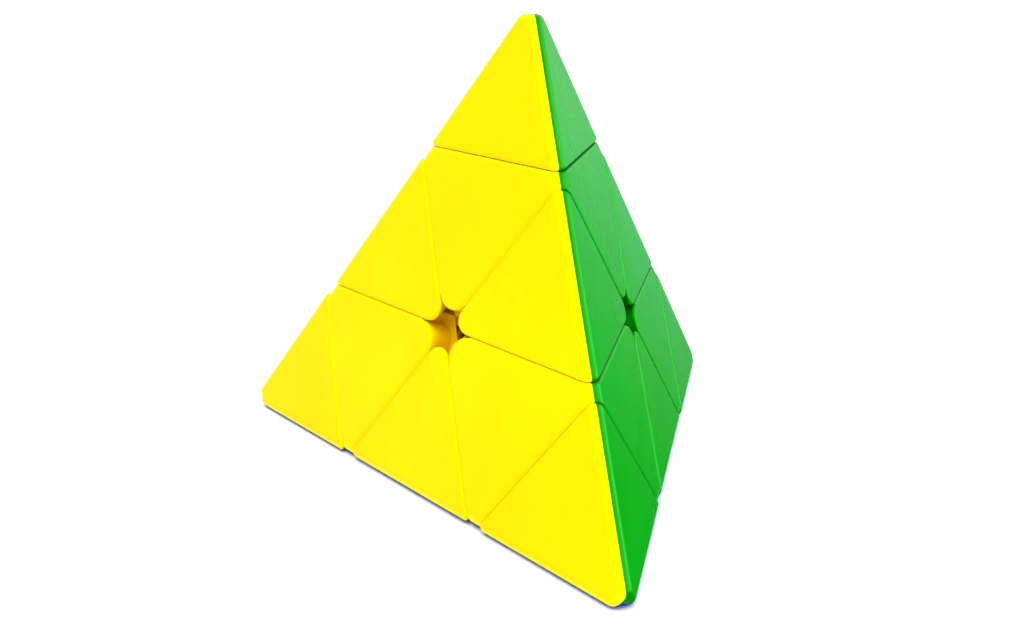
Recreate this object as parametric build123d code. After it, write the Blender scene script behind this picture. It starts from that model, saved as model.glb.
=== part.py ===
from build123d import *
import math
import os

# Pyramid twisty puzzle: a regular tetrahedron cut by two planes across each of its four turning axes.
# The origin is the centre of the core, where the four axes cross. +Z points to the top corner, and
# the base lies level below. Millimetres throughout.

# ---- driving dimensions of the outside ----
EDGE = 98.0  # edge of the sharp-cornered tetrahedron
TIP_CUT = 0.331  # depth of the tip cut below its corner, as a share of the height
DEEP_CUT = 0.6656  # depth of the layer cut below its corner, as a share of the height
CUT_GAP = 0.1  # whole gap between the pieces on the two sides of a cut
NOSE_CUT = 4.45  # depth at which a tip's corner is cut off flat before it is rounded
TIP_ROUND = 1.6  # rounding along the tetrahedron's edges, on a tip
EDGE_ROUND = 1.8  # the same on an edge piece
AXIAL_ROUND = 2.3  # the same on an axial piece, which sits a little lower there
RIM_ROUND = 0.52  # rounding of every rim beside a cut
STAR_ROUND = 2.6  # rounding of an edge piece's inner edge, which ends at the stars
STAR_ARC = 3.4  # radius of an axial piece's points, three of which meet in each star
STAR_DEPTH = 4.9  # height of a point's rounded wall, from the outer face down to its toe
WEDGE_ROUND = 2.5  # rounding of the corner of the lowest colour at each corner of the puzzle

# ---- colour shells ----
WALL = 1.6  # wall of a colour shell
SKIRT_R = 17.0  # an edge shell ends, and the inner pieces join it, on a sphere of this radius
STAR_SOLID_R = 7.5  # an axial shell is solid this far around the middle of each star
TOE_R = 6.5  # radius of the toe that it puts between the feet there
TOE_END = 12.6  # distance from the centre to the flat end of that toe
TOE_SIDE = 4.0  # and to the flat on each side of it, which clears the feet that pass
TIP_HOLLOW_TOP = 51.0  # the hollow in a tip ends here, below the rounded corner

# ---- hidden mechanism, in spheres and cones about the centre ----
CORE_R = 9.0  # ball of the core
FOOT_IN_R = 9.3  # inside of the edge pieces' feet and of the axial plugs
FOOT_OUT_R = 14.85  # outside of the feet
SHELF_R = 15.15  # inside of the axial shells and of their frames' plate, which ride over the feet
FOOT_CONE = 69.5  # half-angle of the cone that holds the feet of one layer
FOOT_CLEAR_CONE = 71.5  # half-angle of the wider cone that all the other feet stay out of
PLUG_CONE = 38.0  # half-angle of an axial frame's plug
RUN = 0.05  # radial clearance of a running fit

# ---- posts, sockets and screws, as distances along an axis from the centre ----
POST_R = 3.4
POST_END = 23.5
POST_BORE_END = 24.0
AXIAL_TUBE_R = 7.0
SOCKET_FLOOR = 27.7  # floor of the socket in the axial frame that takes the tip's spigot
SPIGOT_R = 4.8
SPIGOT_END = 28.0
SPRING_SEAT = 29.6
SPIGOT_BORE_R = 3.4
TIP_PLATE = 2.0  # thickness of the plate that closes the bottom of a tip
SCREW_R = 1.5
SCREW_END = 10.0
SCREW_HOLE_END = 9.5  # bottom of the screw's hole in the core
SCREW_HOLE_R = 1.8  # clearance hole round the screw
HEAD_R = 2.8
HEAD_HEIGHT = 2.2
HEAD_ROUND = 0.7
HEAD_SEAT = 37.5
RECESS = (0.8, 3.6, 1.2)  # width, length and depth of each slot of the screw's cross recess
WASHER_R = 3.2
WASHER = 0.6
SPRING_R = 2.55  # radius of the spring's coil, to the middle of the wire
SPRING_WIRE_R = 0.4
SPRING_TURNS = 5
CLIP = (7.0, 9.0)  # an edge piece's clip block, along and across its edge

# ---- worked out ----
HEIGHT = EDGE * math.sqrt(2 / 3)
FACE = HEIGHT / 4  # centre to each outer face
CUT_ANGLE = math.acos(1 / 3)  # between a cut plane and each outer face that it crosses
CORNER = 3 * FACE  # centre to each corner of the sharp-cornered tetrahedron
TIP_PLANE = CORNER - TIP_CUT * HEIGHT
DEEP_PLANE = CORNER - DEEP_CUT * HEIGHT
GAP = CUT_GAP / 2
BIG = 3 * EDGE  # larger than the puzzle from end to end
CONE_LENGTH = 1.5 * SKIRT_R  # long enough to pass everything that a cone cuts
OVERSHOOT = 1.0  # how far a cutting shape runs past what it cuts
TOLERANCE = 1e-3
ORIGIN = Vector(0, 0, 0)
UP = Vector(0, 0, 1)


def corner_direction(azimuth):
    """The unit vector from the centre to a corner of the base."""
    a = math.radians(azimuth)
    out = math.sqrt(8) / 3
    return Vector(out * math.cos(a), out * math.sin(a), -1 / 3)


CORNERS = {
    "top": UP,
    "left": corner_direction(210),
    "right": corner_direction(330),
    "back": corner_direction(90),
}
# the colour of the face opposite each corner
COLOURS = {"top": "blue", "left": "green", "right": "red", "back": "yellow"}
# the order in which the colours take their share of a piece: the first has the rounded outline
COLOUR_ORDER = ["yellow", "red", "green", "blue"]
EDGES = [
    ("top", "left"),
    ("top", "right"),
    ("top", "back"),
    ("left", "right"),
    ("right", "back"),
    ("left", "back"),
]


# ---- building blocks ----
def below(normal, distance):
    """All space on the centre's side of the plane that lies at this distance along normal."""
    plane = Plane(origin=normal * distance, z_dir=normal)
    return plane.location * Box(BIG, BIG, BIG, align=(Align.CENTER, Align.CENTER, Align.MAX))


def meet(solids):
    """What all the solids have in common."""
    result = solids[0]
    for s in solids[1:]:
        result = result & s
    return result


def along(normal, start, end, radius):
    """A cylinder on the axis through the centre, from one distance to another."""
    plane = Plane(origin=normal * start, z_dir=normal)
    return plane.location * Cylinder(
        radius, end - start, align=(Align.CENTER, Align.CENTER, Align.MIN)
    )


def cone(normal, half_angle, apex):
    """A cone that opens outwards along normal from its apex at this distance."""
    plane = Plane(origin=normal * apex, z_dir=normal)
    return plane.location * Cone(
        0, CONE_LENGTH * math.tan(math.radians(half_angle)), CONE_LENGTH,
        align=(Align.CENTER, Align.CENTER, Align.MIN),
    )


def others(*names):
    """The corners that are not named."""
    return [c for c in CORNERS if c not in names]


def rounded_tetrahedron(radius, noses=()):
    """The outer tetrahedron with the given corners cut flat and then every edge rounded."""
    faces = [below(-n, FACE) for n in CORNERS.values()]
    ends = [below(n, CORNER - NOSE_CUT) for n in noses]
    return fillet(meet(faces + ends).edges(), radius)


def points_on(edge):
    """Both ends and the middle of an edge."""
    return [edge @ 0, edge @ 0.5, edge @ 1]


def on_plane(edge, normal, distance):
    """True when the whole edge lies on the plane."""
    return all(abs(p.dot(normal) - distance) < TOLERANCE for p in points_on(edge))


def near_skin(edge):
    """True when the whole edge is close under an outer face or a rounded edge."""
    return all(
        max(-p.dot(n) for n in CORNERS.values()) > FACE - AXIAL_ROUND for p in points_on(edge)
    )


def round_rims(piece, planes):
    """Rounds the rims where the outer surface meets the given cut planes."""
    rims = [e for e in piece.edges() if near_skin(e) and any(on_plane(e, n, d) for n, d in planes)]
    return fillet(rims, RIM_ROUND)


# ---- placing copies: every piece is made once and turned to its places ----
def to_corner(shape, name):
    """Turns a shape made at the top corner to another corner."""
    if name == "top":
        return shape
    return shape.rotate(Axis(ORIGIN, UP + CORNERS[name]), 180)


def to_edge(shape, first, second):
    """Turns a shape made at the edge from top to left to another edge."""
    if first == "top":
        azimuth = {"left": 0, "right": 120, "back": 240}[second]
        return shape.rotate(Axis(ORIGIN, UP), azimuth)
    opposite = others("top", first, second)[0]
    return to_edge(shape, "top", opposite).rotate(Axis(ORIGIN, UP + CORNERS[first]), 180)


# ---- outer forms, made at the top corner or at the edge from top to left ----
def tip_form():
    """A tip: the corner of the puzzle above the tip cut."""
    bottom = TIP_PLANE + GAP
    form = rounded_tetrahedron(TIP_ROUND, [UP]) & below(-UP, -bottom)
    return round_rims(form, [(UP, bottom)])


def star_floor(opposite):
    """The plane at the foot of a star's rounded walls, its x axis towards the top corner."""
    normal = -CORNERS[opposite]
    return Plane(
        origin=normal * (FACE - STAR_DEPTH), x_dir=UP - normal * UP.dot(normal), z_dir=normal
    )


def star_end(opposite):
    """The very end of the top axial piece's point in one star."""
    block = Box(
        STAR_ARC, 2 * STAR_ARC, STAR_DEPTH + OVERSHOOT, align=(Align.MAX, Align.CENTER, Align.MIN)
    )
    return star_floor(opposite).location * Pos(STAR_ARC / 3, 0, 0) * block


def star_pocket(opposite):
    """What is cut away in one star to round the top axial piece's point."""
    to_cut = (DEEP_PLANE - GAP - FACE / 3) / math.sin(CUT_ANGLE)
    middle = 2 * (STAR_ARC - to_cut)
    flank = EDGE * math.tan(math.radians(60))
    sector = Polygon((middle, 0), (middle - EDGE, flank), (middle - EDGE, -flank), align=None)
    peg = Cylinder(STAR_ARC, STAR_DEPTH, align=(Align.CENTER, Align.CENTER, Align.MIN))
    peg = fillet(peg.edges().sort_by(Axis.Z)[-1], RIM_ROUND)
    pocket = extrude(sector, STAR_DEPTH + OVERSHOOT) - Pos(middle, 0, 0) * peg
    return star_floor(opposite).location * pocket


def axial_form():
    """An axial piece: an octahedron between the tip cut, the layer cuts and the outer faces."""
    top, side = TIP_PLANE - GAP, DEEP_PLANE - GAP
    sides = [CORNERS[c] for c in others("top")]
    cuts = [below(UP, top), below(-UP, -(DEEP_PLANE + GAP))] + [below(n, side) for n in sides]
    form = meet([rounded_tetrahedron(AXIAL_ROUND)] + cuts)
    for c in others("top"):
        form = form - star_end(c)
    form = round_rims(form, [(UP, top)] + [(n, side) for n in sides])
    for c in others("top"):
        form = form - star_pocket(c)
    return form


def edge_form():
    """An edge piece: a tetrahedron between two layer cuts and two outer faces."""
    cut = DEEP_PLANE + GAP
    sides = [CORNERS["top"], CORNERS["left"]]
    wedge = meet([below(-n, -cut) for n in sides])
    inner = [e for e in wedge.edges() if all(on_plane(e, n, cut) for n in sides)]
    wedge = fillet(inner, STAR_ROUND)
    form = wedge & rounded_tetrahedron(EDGE_ROUND)
    return round_rims(form, [(n, cut) for n in sides])


# ---- hollows inside the colour shells ----
def tip_hollow():
    walls = [below(-CORNERS[c], FACE - WALL) for c in others("top")]
    return meet(walls + [below(UP, TIP_HOLLOW_TOP), below(-UP, 0)])


def axial_hollow():
    walls = [below(-CORNERS[c], FACE - WALL) for c in others("top")]
    cuts = [below(CORNERS[c], DEEP_PLANE - GAP - WALL) for c in others("top")]
    ends = [below(UP, TIP_PLANE - GAP - WALL), below(-UP, -(DEEP_PLANE + GAP + WALL))]
    hollow = meet(walls + cuts + ends)
    for c in others("top"):
        hollow = hollow - along(-CORNERS[c], 0, FACE, STAR_SOLID_R)
    return hollow


def edge_hollow():
    walls = [below(-CORNERS[c], FACE - WALL) for c in others("top", "left")]
    cuts = [below(-CORNERS[c], -(DEEP_PLANE + GAP + WALL)) for c in ("top", "left")]
    return meet(walls + cuts)


# ---- colour sectors ----
def rounded_wedge(corner, face):
    """The third of space about a corner's axis that lies towards one face, with its edge rounded."""
    axis, towards = CORNERS[corner], -CORNERS[face]
    plane = Plane(origin=ORIGIN, x_dir=towards - axis * towards.dot(axis), z_dir=axis)
    flank = EDGE * math.tan(math.radians(60))
    outline = Polygon((0, 0), (EDGE, -flank), (EDGE, flank), align=None)
    outline = fillet(outline.vertices().sort_by(Axis.X)[0], WEDGE_ROUND)
    return extrude(plane.location * outline, CORNER)


def mid_plane(face, rival):
    """All space that is nearer to one outer face than to its rival."""
    return below((CORNERS[face] - CORNERS[rival]).normalized(), 0)


def colour_order(faces):
    return sorted(faces, key=lambda f: COLOUR_ORDER.index(COLOURS[f]))


def split_three(shell, corner):
    """Splits a corner's shell into its three colours."""
    first, second, third = colour_order(others(corner))
    wedge = rounded_wedge(corner, first)
    rest = shell - wedge
    return {
        first: shell & wedge,
        second: rest & mid_plane(second, third),
        third: rest & mid_plane(third, second),
    }


def split_two(shell, corners):
    """Splits an edge's shell into its two colours."""
    first, second = colour_order(others(*corners))
    return {
        first: shell & mid_plane(first, second),
        second: shell & mid_plane(second, first),
    }


# ---- shell of an axial piece ----
def toe(form):
    """A toe of the top axial shell, between the feet that meet under one star."""
    block = along(-CORNERS["back"], TOE_END, SHELF_R + OVERSHOOT, TOE_R)
    return meet([block, below(CORNERS["left"], TOE_SIDE), below(CORNERS["right"], TOE_SIDE), form])


def axial_shell(form, hollow):
    """The walls of an axial piece, solid beside each star, with three toes below."""
    shell = form - hollow - Sphere(SHELF_R) - along(UP, 0, CORNER, AXIAL_TUBE_R)
    one_toe = toe(form)
    for azimuth in (0, 120, 240):
        shell = shell + one_toe.rotate(Axis(ORIGIN, UP), azimuth)
    return shell


# ---- inner pieces ----
def tip_base():
    """The plate that closes a tip, with the spigot that turns in the axial frame and holds the spring."""
    bottom = TIP_PLANE + GAP
    walls = [below(-CORNERS[c], FACE - WALL) for c in others("top")]
    plate = meet(walls + [below(-UP, -bottom), below(UP, bottom + TIP_PLATE)])
    spigot = along(UP, SPIGOT_END, bottom + TIP_PLATE, SPIGOT_R)
    bore = along(UP, SPRING_SEAT, CORNER, SPIGOT_BORE_R)
    hole = along(UP, SPIGOT_END - OVERSHOOT, SPRING_SEAT + OVERSHOOT, SCREW_HOLE_R)
    return plate + spigot - bore - hole


def axial_frame(hollow):
    """A flanged tube: a plug among the feet, a dished plate over them and a socket for the tip."""
    plate = (hollow & Sphere(SKIRT_R)) - Sphere(SHELF_R)
    plug = (cone(UP, PLUG_CONE, 0) & Sphere(SHELF_R + OVERSHOOT)) - Sphere(FOOT_IN_R)
    tube = along(UP, SHELF_R, TIP_PLANE - GAP, AXIAL_TUBE_R)
    body = plate + plug + tube
    post_bore = along(UP, 0, POST_BORE_END, POST_R + RUN)
    socket = along(UP, SOCKET_FLOOR, CORNER, SPIGOT_R + RUN)
    hole = along(UP, POST_BORE_END - OVERSHOOT, SOCKET_FLOOR + OVERSHOOT, SCREW_HOLE_R)
    return body - post_bore - socket - hole


def edge_foot(form, hollow):
    """The foot that locks an edge piece under its neighbours, with the block that fills its shells."""
    top, left = CORNERS["top"], CORNERS["left"]
    out = (top + left).normalized()
    foot = (Sphere(FOOT_OUT_R) - Sphere(FOOT_IN_R)) & cone(top, FOOT_CONE, GAP)
    foot = foot & cone(left, FOOT_CONE, GAP)
    for c in others("top", "left"):
        foot = foot - cone(CORNERS[c], FOOT_CLEAR_CONE, 0)
    neck = form & Sphere(SKIRT_R)
    stem = Plane(origin=out * FOOT_OUT_R, x_dir=top - left, z_dir=out).location
    clip = stem * Box(*CLIP, EDGE, align=(Align.CENTER, Align.CENTER, Align.MIN))
    return foot + neck + (clip & hollow)


def core():
    """The ball at the centre and its four posts, drilled for the screws."""
    body = Sphere(CORE_R)
    for n in CORNERS.values():
        body = body + along(n, 0, POST_END, POST_R)
    for n in CORNERS.values():
        body = body - along(n, SCREW_HOLE_END, CORNER, SCREW_R)
    return body


def screw():
    """A pan-head screw with a cross recess."""
    shank = along(UP, SCREW_END, HEAD_SEAT, SCREW_R)
    head = along(UP, HEAD_SEAT, HEAD_SEAT + HEAD_HEIGHT, HEAD_R)
    head = fillet(head.edges().sort_by(Axis.Z)[-1], HEAD_ROUND)
    width, length, depth = RECESS
    slot = Pos(0, 0, HEAD_SEAT + HEAD_HEIGHT) * Box(width, length, 2 * depth)
    return shank + head - slot - Rot(0, 0, 90) * slot


def washer():
    outside = along(UP, HEAD_SEAT - WASHER, HEAD_SEAT, WASHER_R)
    return outside - along(UP, 0, CORNER, SCREW_R + RUN)


def spring():
    """A coil spring between the washer and the seat in the tip's spigot."""
    low = SPRING_SEAT + RUN + SPRING_WIRE_R
    high = HEAD_SEAT - WASHER - SPRING_WIRE_R
    coil = Helix(pitch=(high - low) / SPRING_TURNS, height=high - low, radius=SPRING_R)
    section = Plane(origin=coil @ 0, z_dir=coil % 0) * Circle(SPRING_WIRE_R)
    return Pos(0, 0, low) * sweep(section, path=coil, is_frenet=True)


# ---- sub-parts, each written to its own file ----
def save(name, shape):
    export_step(shape, f"parts/{name}.step")


def save_tips():
    form = tip_form()
    shell = form - tip_hollow()
    base = tip_base()
    for corner in CORNERS:
        for face, part in split_three(to_corner(shell, corner), corner).items():
            save(f"tip_{corner}_{COLOURS[face]}_shell", part)
        save(f"tip_{corner}_base", to_corner(base, corner))


def save_axials():
    form = axial_form()
    hollow = axial_hollow()
    shell = axial_shell(form, hollow)
    frame = axial_frame(hollow)
    for corner in CORNERS:
        for face, part in split_three(to_corner(shell, corner), corner).items():
            save(f"axial_{corner}_{COLOURS[face]}_shell", part)
        save(f"axial_{corner}_frame", to_corner(frame, corner))


def save_edges():
    form = edge_form()
    hollow = edge_hollow()
    shell = form - hollow - Sphere(SKIRT_R)
    foot = edge_foot(form, hollow)
    for first, second in EDGES:
        for name, shape in (("shell", shell), ("foot", foot)):
            placed = to_edge(shape, first, second)
            for face, part in split_two(placed, (first, second)).items():
                save(f"edge_{first}_{second}_{COLOURS[face]}_{name}", part)


def save_group(name, shape):
    """Writes one copy of a piece at each corner as separate solids of one sub-part."""
    save(name, Compound(children=[to_corner(Compound(shape.solids()), c) for c in CORNERS]))


os.makedirs("parts", exist_ok=True)
save_tips()
save_axials()
save_edges()
save("core", core())
save_group("screws", screw())
save_group("washers", washer())
save_group("springs", spring())
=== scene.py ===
import math

import bpy
from mathutils import Matrix, Vector


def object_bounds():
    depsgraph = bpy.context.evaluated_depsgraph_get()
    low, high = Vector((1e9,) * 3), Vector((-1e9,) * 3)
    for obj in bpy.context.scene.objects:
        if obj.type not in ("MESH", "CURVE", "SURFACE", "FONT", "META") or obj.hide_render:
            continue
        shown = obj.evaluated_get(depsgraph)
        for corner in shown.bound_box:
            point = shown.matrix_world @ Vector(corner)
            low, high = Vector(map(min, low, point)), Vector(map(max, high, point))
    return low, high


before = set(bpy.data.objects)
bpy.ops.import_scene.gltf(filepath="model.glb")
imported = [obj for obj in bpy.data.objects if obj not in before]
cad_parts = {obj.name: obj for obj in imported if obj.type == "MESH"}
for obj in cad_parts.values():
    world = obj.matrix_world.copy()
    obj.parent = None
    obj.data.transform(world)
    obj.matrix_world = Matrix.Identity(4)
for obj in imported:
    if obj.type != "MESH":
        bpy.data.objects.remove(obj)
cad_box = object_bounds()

MM = 0.001
EDGE = 98 * MM
FACE = EDGE * math.sqrt(2 / 3) / 4  # from the puzzle's centre to each outer face
FACE_NORMALS = [(0, 0, -1)] + [
    (math.sqrt(8) / 3 * math.cos(a), math.sqrt(8) / 3 * math.sin(a), 1 / 3)
    for a in (math.radians(30), math.radians(150), math.radians(270))
]

# Camera: a turn round the puzzle's centre, then a slide in the picture plane.
CAMERA_AZIMUTH = 44.597
CAMERA_ELEVATION = 19.889
CAMERA_ROLL = 1.1644
CAMERA_DISTANCE = 1.77806 * EDGE
CAMERA_SLIDE = (-0.021182 * EDGE, 0.047724 * EDGE)
LENS = 34.3035
SENSOR = 36.0

# Studio: an even sky, a soft sun from above, a weaker one from behind, a big pale floor and a screen.
SKY = 0.62
HORIZON = (-0.06, 0.1)  # height of the look direction where the sky starts, and where it is full
UNDER = (0.0, 0.85)  # strength below the horizon, on the dark side and on the lit side
UNDER_SIDE = (-0.17, -0.31)  # X of the look direction where each of those is reached
UNDER_TINT = (0.7, 1.0, 1.0, 1.0)
WHITE = (1.0, 1.0, 1.0, 1.0)
SUN = (3.2, 50, (0.05, -0.25, 1.0))  # strength, angle across in degrees, direction it comes from
FILL = (2.6, 60, (0.8, 0.6, 0.3))
FLOOR_SIZE = 12.0
FLOOR_TONE = (0.86, 0.87, 0.9)
BACKDROP = (5.8, 4.0, 64)  # radius and height in metres, and how many flat sides

# Plastic.
PAINTED_RIM_LIGHT_SHARE = 0.6  # how much of a shell's painted rim light and shade its rounded rims take
PAINTED_RIM_LIGHT_START = (0.03 * MM, 0.25 * MM)  # depths under an outer face between which the painted rim light and shade comes in
PAINTED_RIM_LIGHT_STOP = (0.8 * MM, 1.8 * MM)  # and between which it fades out again
RUBBED_SHARE = 0.3  # how much of its worn colour a rubbed rim takes
RUBBED_WIDTH = 0.35 * MM


def camera():
    azimuth = math.radians(CAMERA_AZIMUTH)
    elevation = math.radians(CAMERA_ELEVATION)
    back = Vector((math.sin(azimuth) * math.cos(elevation),
                   -math.cos(azimuth) * math.cos(elevation),
                   math.sin(elevation)))
    right = Vector((0, 0, 1)).cross(back).normalized()
    up = back.cross(right)
    turn = Matrix.Rotation(math.radians(CAMERA_ROLL), 3, back)
    right, up = turn @ right, turn @ up
    data = bpy.data.cameras.new("camera")
    data.lens = LENS
    data.sensor_width = SENSOR
    data.clip_start = 0.01
    data.clip_end = 100
    eye = bpy.data.objects.new("camera", data)
    eye.matrix_world = Matrix.Translation(
        back * CAMERA_DISTANCE + right * CAMERA_SLIDE[0] + up * CAMERA_SLIDE[1]
    ) @ Matrix((right, up, back)).transposed().to_4x4()
    bpy.context.scene.collection.objects.link(eye)
    bpy.context.scene.camera = eye


# ---- lights ----
def soft_light(name, strength, across, source):
    data = bpy.data.lights.new(name, "SUN")
    data.energy = strength
    data.angle = math.radians(across)
    lamp = bpy.data.objects.new(name, data)
    lamp.rotation_mode = "QUATERNION"
    lamp.rotation_quaternion = Vector(source).to_track_quat("Z", "Y")
    bpy.context.scene.collection.objects.link(lamp)


def sky():
    """Even above the horizon; below it, where only reflections look, dark but for one tinted side."""
    world = bpy.data.worlds.new("studio")
    bpy.context.scene.world = world
    world.use_nodes = True
    tree = world.node_tree
    tree.nodes.clear()
    look = add(tree, "ShaderNodeTexCoord")
    split = add(tree, "ShaderNodeSeparateXYZ", {"Vector": look.outputs["Generated"]})
    side = remap(tree, split.outputs["X"], *UNDER_SIDE, *UNDER)
    above = remap(tree, split.outputs["Z"], *HORIZON, 0.0, 1.0)
    strength = remap(tree, above, 0.0, 1.0, side, SKY)
    hue = add(tree, "ShaderNodeMix", {
        "Factor": above, 6: UNDER_TINT, 7: WHITE,
    }, data_type="RGBA").outputs[2]
    shader = add(tree, "ShaderNodeBackground", {"Color": hue, "Strength": strength})
    add(tree, "ShaderNodeOutputWorld", {"Surface": shader.outputs["Background"]})


# ---- shader trees ----
def add(tree, kind, values=None, **settings):
    """Adds a node; a value may be a constant or another node's output."""
    node = tree.nodes.new(kind)
    for key, value in settings.items():
        setattr(node, key, value)
    for key, value in (values or {}).items():
        if isinstance(value, bpy.types.NodeSocket):
            tree.links.new(value, node.inputs[key])
        else:
            node.inputs[key].default_value = value
    return node


def noise(tree, coords, scale, detail=2.0, rough=0.5):
    return add(tree, "ShaderNodeTexNoise", {
        "Vector": coords, "Scale": scale, "Detail": detail, "Roughness": rough,
    }).outputs["Fac"]


def remap(tree, value, low, high, to_low, to_high):
    return add(tree, "ShaderNodeMapRange", {
        "Value": value, "From Min": low, "From Max": high, "To Min": to_low, "To Max": to_high,
    }).outputs["Result"]


def maths(tree, operation, a, b):
    return add(tree, "ShaderNodeMath", {0: a, 1: b}, operation=operation).outputs["Value"]


def mixed(tree, share, base, colour):
    """The base with this share of another colour in it."""
    return add(tree, "ShaderNodeMix", {
        "Factor": share, 6: base, 7: (*colour, 1),
    }, data_type="RGBA").outputs[2]


def stretched(tree, coords, turn, scale):
    """Coordinates turned and squeezed, so that a noise on them becomes streaks."""
    return add(tree, "ShaderNodeMapping", {
        "Vector": coords, "Rotation": turn, "Scale": scale,
    }).outputs["Vector"]


def edge_mask(tree, radius, low, high):
    """One on the convex rims of a piece and nought on its flats."""
    rounded = add(tree, "ShaderNodeBevel", {"Radius": radius}, samples=6)
    true = add(tree, "ShaderNodeNewGeometry")
    match = add(tree, "ShaderNodeVectorMath", {
        0: rounded.outputs["Normal"], 1: true.outputs["Normal"],
    }, operation="DOT_PRODUCT").outputs["Value"]
    return remap(tree, match, low, high, 1.0, 0.0)


def painted_rim_light_mask(tree, coords):
    """Where painted light and shade go: one on the rounded rims just under the outer faces, and
    nought on the faces and deep walls.
    """
    skins = [add(tree, "ShaderNodeVectorMath", {0: coords, 1: n}, operation="DOT_PRODUCT")
             for n in FACE_NORMALS]
    reach = skins[0].outputs["Value"]
    for skin in skins[1:]:
        reach = maths(tree, "MAXIMUM", reach, skin.outputs["Value"])
    depth = maths(tree, "SUBTRACT", FACE, reach)
    return maths(tree, "MULTIPLY", remap(tree, depth, *PAINTED_RIM_LIGHT_START, 0.0, 1.0),
                 remap(tree, depth, *PAINTED_RIM_LIGHT_STOP, 1.0, 0.0))


def bump(tree, height, strength, distance, under=None):
    values = {"Height": height, "Strength": strength, "Distance": distance}
    if under:
        values["Normal"] = under
    return add(tree, "ShaderNodeBump", values).outputs["Normal"]


def surface(name):
    material = bpy.data.materials.new(name)
    material.use_nodes = True
    tree = material.node_tree
    tree.nodes.clear()
    coords = add(tree, "ShaderNodeTexCoord").outputs["Object"]
    return material, tree, coords


def finish(tree, values):
    shader = add(tree, "ShaderNodeBsdfPrincipled", values)
    add(tree, "ShaderNodeOutputMaterial", {"Surface": shader.outputs["BSDF"]})


def plastic(name, colour, worn, painted_rim_light, specular, tint, rough, ior=1.5):
    """Moulded plastic: cloudy tone, fine grain, faint waves and scratches, rubbed rims, and painted
    light and shade on the rims beside the seams.
    """
    material, tree, coords = surface(name)
    batch = add(tree, "ShaderNodeObjectInfo").outputs["Random"]
    cloud = noise(tree, coords, 55, 3.0, 0.55)
    tone = maths(tree, "MULTIPLY", remap(tree, cloud, 0.3, 0.7, 0.965, 1.03),
                 remap(tree, batch, 0, 1, 0.985, 1.015))
    drift = noise(tree, coords, 24, 1.0)
    base = add(tree, "ShaderNodeHueSaturation", {
        "Hue": remap(tree, drift, 0.3, 0.7, 0.4965, 0.5035), "Saturation": 1.0, "Value": tone,
        "Fac": 1.0, "Color": (*colour, 1),
    }).outputs["Color"]

    rims = edge_mask(tree, RUBBED_WIDTH, 0.86, 0.995)
    speckle = remap(tree, noise(tree, coords, 700, 4.0, 0.7), 0.42, 0.62, 0.15, 1.0)
    rubbed = maths(tree, "MULTIPLY", maths(tree, "MULTIPLY", rims, speckle), RUBBED_SHARE)
    base = mixed(tree, rubbed, base, worn)
    # Painted light and shade on the rims beside the seams: paler than the base on yellow, lifting the
    # shade out of its seams, and darker on green, red and blue, as painted shade in their seam lines.
    base = mixed(tree, maths(tree, "MULTIPLY", painted_rim_light_mask(tree, coords), PAINTED_RIM_LIGHT_SHARE), base, painted_rim_light)

    streaks = noise(tree, stretched(tree, coords, (0.3, 0.9, 0.5), (1500, 40, 40)), 1.0, 2.0)
    scratch = remap(tree, streaks, 0.68, 0.76, 0.0, 1.0)
    smudge = noise(tree, coords, 130, 4.0, 0.6)
    roughness = maths(tree, "ADD", remap(tree, smudge, 0.3, 0.7, rough[0], rough[1]),
                      maths(tree, "MULTIPLY", maths(tree, "MAXIMUM", scratch, rims), 0.07))

    waves = bump(tree, noise(tree, coords, 70, 1.0), 0.25, 0.12 * MM)
    grain = bump(tree, noise(tree, coords, 3200, 3.0, 0.6), 0.3, 0.012 * MM, waves)
    normal = bump(tree, scratch, 0.2, -0.006 * MM, grain)
    finish(tree, {
        "Base Color": base, "Roughness": roughness, "IOR": ior,
        "Specular IOR Level": specular, "Specular Tint": (*tint, 1), "Normal": normal,
    })
    return material


def steel(name, colour, rough, streak_scale):
    """Plated or drawn steel: fine streaks, dull patches and bright rims."""
    material, tree, coords = surface(name)
    patches = noise(tree, coords, 400, 3.0)
    rims = edge_mask(tree, 0.15 * MM, 0.8, 0.99)
    tone = maths(tree, "ADD", remap(tree, patches, 0.3, 0.7, 0.85, 1.0),
                 maths(tree, "MULTIPLY", rims, 0.12))
    base = add(tree, "ShaderNodeHueSaturation", {
        "Hue": 0.5, "Saturation": 1.0, "Value": tone, "Fac": 1.0, "Color": (*colour, 1),
    }).outputs["Color"]
    streaks = noise(tree, stretched(tree, coords, (0, 0, 0), streak_scale), 1.0, 3.0)
    finish(tree, {
        "Base Color": base, "Metallic": 1.0,
        "Roughness": remap(tree, streaks, 0.3, 0.7, rough[0], rough[1]),
        "Normal": bump(tree, streaks, 0.3, 0.01 * MM),
    })
    return material


def paper(name):
    """The floor: pale card with a faint tooth."""
    material, tree, coords = surface(name)
    tooth = noise(tree, coords, 900, 3.0)
    base = add(tree, "ShaderNodeHueSaturation", {
        "Hue": 0.5, "Saturation": 1.0, "Value": remap(tree, tooth, 0.3, 0.7, 0.985, 1.0),
        "Fac": 1.0, "Color": (*FLOOR_TONE, 1),
    }).outputs["Color"]
    finish(tree, {
        "Base Color": base, "Roughness": 0.85, "Specular IOR Level": 0.1,
        "Normal": bump(tree, tooth, 0.05, 0.02 * MM),
    })
    return material


def floor():
    """A level card that the puzzle stands on; reflections look past it at the world below."""
    lowest = cad_box[0].z
    half = FLOOR_SIZE / 2
    mesh = bpy.data.meshes.new("floor")
    mesh.from_pydata([(-half, -half, lowest), (half, -half, lowest), (half, half, lowest),
                      (-half, half, lowest)], [], [(0, 1, 2, 3)])
    obj = bpy.data.objects.new("floor", mesh)
    mesh.materials.append(paper("floor_card"))
    obj.visible_glossy = False
    bpy.context.scene.collection.objects.link(obj)


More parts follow.
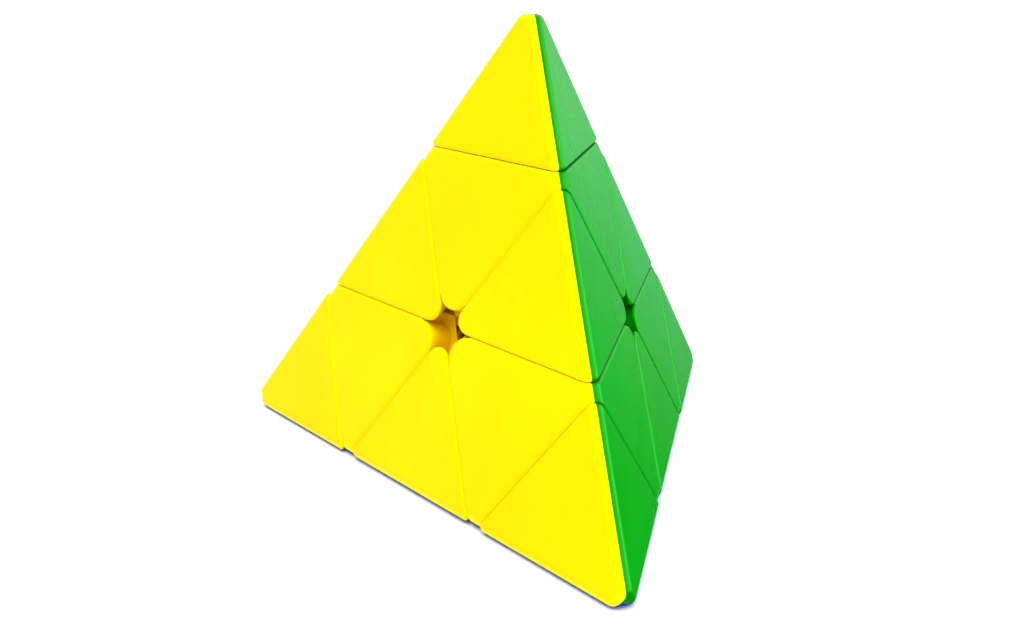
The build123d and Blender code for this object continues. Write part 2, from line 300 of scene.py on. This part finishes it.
def backdrop():
    """A white screen all round the far floor, which the camera sees and no other ray does."""
    radius, height, sides = BACKDROP
    lowest = cad_box[0].z
    ring = [(radius * math.cos(2 * math.pi * i / sides), radius * math.sin(2 * math.pi * i / sides))
            for i in range(sides)]
    corners = [(x, y, lowest) for x, y in ring] + [(x, y, lowest + height) for x, y in ring]
    walls = [(i, (i + 1) % sides, (i + 1) % sides + sides, i + sides) for i in range(sides)]
    mesh = bpy.data.meshes.new("backdrop")
    mesh.from_pydata(corners, [], walls)
    material, tree, coords = surface("backdrop_screen")
    weave = remap(tree, noise(tree, coords, 3, 2.0), 0.3, 0.7, 0.99, 1.0)
    glow = add(tree, "ShaderNodeEmission", {"Color": WHITE, "Strength": weave})
    add(tree, "ShaderNodeOutputMaterial", {"Surface": glow.outputs["Emission"]})
    mesh.materials.append(material)
    obj = bpy.data.objects.new("backdrop", mesh)
    obj.visible_diffuse = False
    obj.visible_glossy = False
    obj.visible_shadow = False
    bpy.context.scene.collection.objects.link(obj)


# Each plastic's fourth colour is its painted rim light and shade. It is paler than the base for
# yellow, darker for green, red and blue, and the same as the base for the mechanism.
MATERIALS = {
    "yellow_plastic": plastic("yellow_plastic", (0.95, 0.62, 0.0), (1.0, 0.95, 0.0),
                              (1.0, 0.92, 0.0), 0.2, (1.0, 0.8, 0.0), (0.3, 0.4), 1.3),
    "green_plastic": plastic("green_plastic", (0.0, 0.32, 0.001), (0.06, 0.45, 0.06),
                             (0.0, 0.13, 0.0), 0.5, (0.0, 1.0, 0.02), (0.2, 0.27)),
    "red_plastic": plastic("red_plastic", (0.62, 0.012, 0.008), (0.85, 0.2, 0.15),
                           (0.4, 0.004, 0.003), 0.5, (1.0, 0.1, 0.1), (0.28, 0.38)),
    "blue_plastic": plastic("blue_plastic", (0.008, 0.06, 0.42), (0.15, 0.3, 0.7),
                            (0.004, 0.035, 0.26), 0.5, (0.2, 0.4, 1.0), (0.28, 0.38)),
    "mechanism_plastic": plastic("mechanism_plastic", (0.06, 0.045, 0.035), (0.15, 0.14, 0.13),
                                 (0.06, 0.045, 0.035), 0.4, (1, 1, 1), (0.45, 0.6)),
    "screw_steel": steel("screw_steel", (0.62, 0.61, 0.58), (0.25, 0.42), (4000, 4000, 300)),
    "spring_steel": steel("spring_steel", (0.55, 0.56, 0.58), (0.18, 0.32), (300, 300, 6000)),
}
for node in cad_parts.values():
    for held in node.material_slots:
        held.material = MATERIALS[held.material.name.split(".")[0]]

bpy.context.scene.view_settings.view_transform = "Standard"
sky()
soft_light("sun", *SUN)
soft_light("fill", *FILL)
camera()
floor()
backdrop()
